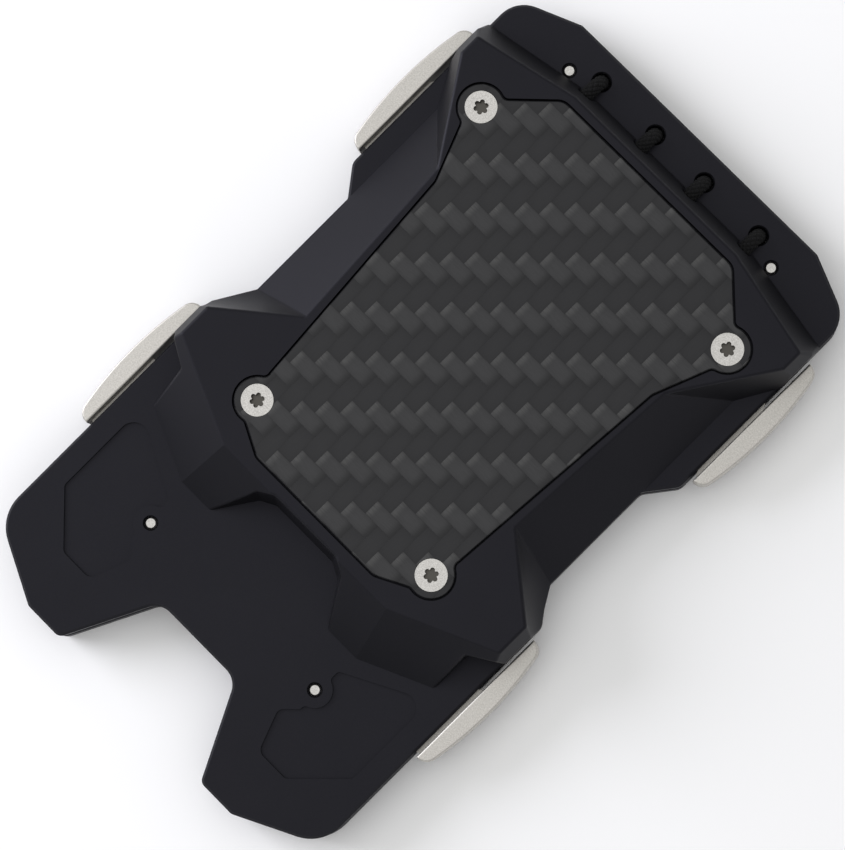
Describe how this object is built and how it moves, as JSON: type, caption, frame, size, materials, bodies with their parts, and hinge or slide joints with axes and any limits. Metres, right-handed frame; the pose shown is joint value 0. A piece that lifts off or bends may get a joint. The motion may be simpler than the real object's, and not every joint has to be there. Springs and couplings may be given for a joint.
{
  "type": "money clip",
  "caption": "Flat card holder of two notched metal plates on elastic cords, with a sprung hourglass cover as a money clip, a carbon fibre inlay and steel side guards.",
  "frame": {"origin": "middle of the back plate's underside, where it rests on a table", "axes": "+X across the width, +Y towards the cord end, +Z out of the clip's face"},
  "size_m": [0.0598, 0.0938, 0.0116],
  "materials": {
    "black_plate": "black anodised, bead blasted",
    "black_cover": "black anodised, bead blasted",
    "carbon": "twill carbon fibre, satin resin",
    "screw_steel": "machined stainless steel",
    "blasted_steel": "bead-blasted stainless steel",
    "hinge_steel": "ground steel",
    "spring_steel": "drawn spring wire",
    "anchor_aluminium": "turned",
    "elastic_cord": "braided elastic"
  },
  "bodies": {
    "back": {"back_plate": "black_plate", "cord_back_left": "elastic_cord", "cord_back_right": "elastic_cord"},
    "elastic": {"cord_legs_left": "elastic_cord", "cord_legs_right": "elastic_cord"},
    "front": {"front_plate": "black_plate", "side_guard_upper_left": "blasted_steel", "side_guard_upper_right": "blasted_steel", "side_guard_lower_left": "blasted_steel", "side_guard_lower_right": "blasted_steel", "guard_screws": "screw_steel", "hinge_bracket_left": "hinge_steel", "hinge_bracket_right": "hinge_steel", "hinge_pin_left": "hinge_steel", "hinge_pin_right": "hinge_steel", "torsion_spring_left": "spring_steel", "torsion_spring_right": "spring_steel", "bracket_screws": "screw_steel", "cord_anchor_left": "anchor_aluminium", "cord_anchor_right": "anchor_aluminium", "anchor_screws": "screw_steel", "cord_front_left": "elastic_cord", "cord_front_right": "elastic_cord"},
    "clip": {"clip_cover": "black_cover", "carbon_inlay": "carbon", "inlay_screws": "screw_steel"}
  },
  "joints": [
    {"name": "card_spread", "type": "slide", "parent": "back", "child": "elastic", "axis": [0, 0, 1], "range_m": [0, 0.006], "stiffness_N_per_m": 600, "deforming": ["cord_legs_left", "cord_legs_right"]},
    {"name": "plate_tilt", "type": "hinge", "parent": "elastic", "child": "front", "pos_m": [0, 0.0437, 0.0043], "axis": [-1, 0, 0], "range_deg": [0, 5], "stiffness_Nm_per_rad": 0.6},
    {"name": "clip_open", "type": "hinge", "parent": "front", "child": "clip", "pos_m": [0, 0.0368, 0.0076], "axis": [-1, 0, 0], "range_deg": [0, 5], "stiffness_Nm_per_rad": 0.5, "deforming": ["torsion_spring_left", "torsion_spring_right"]}
  ]
}
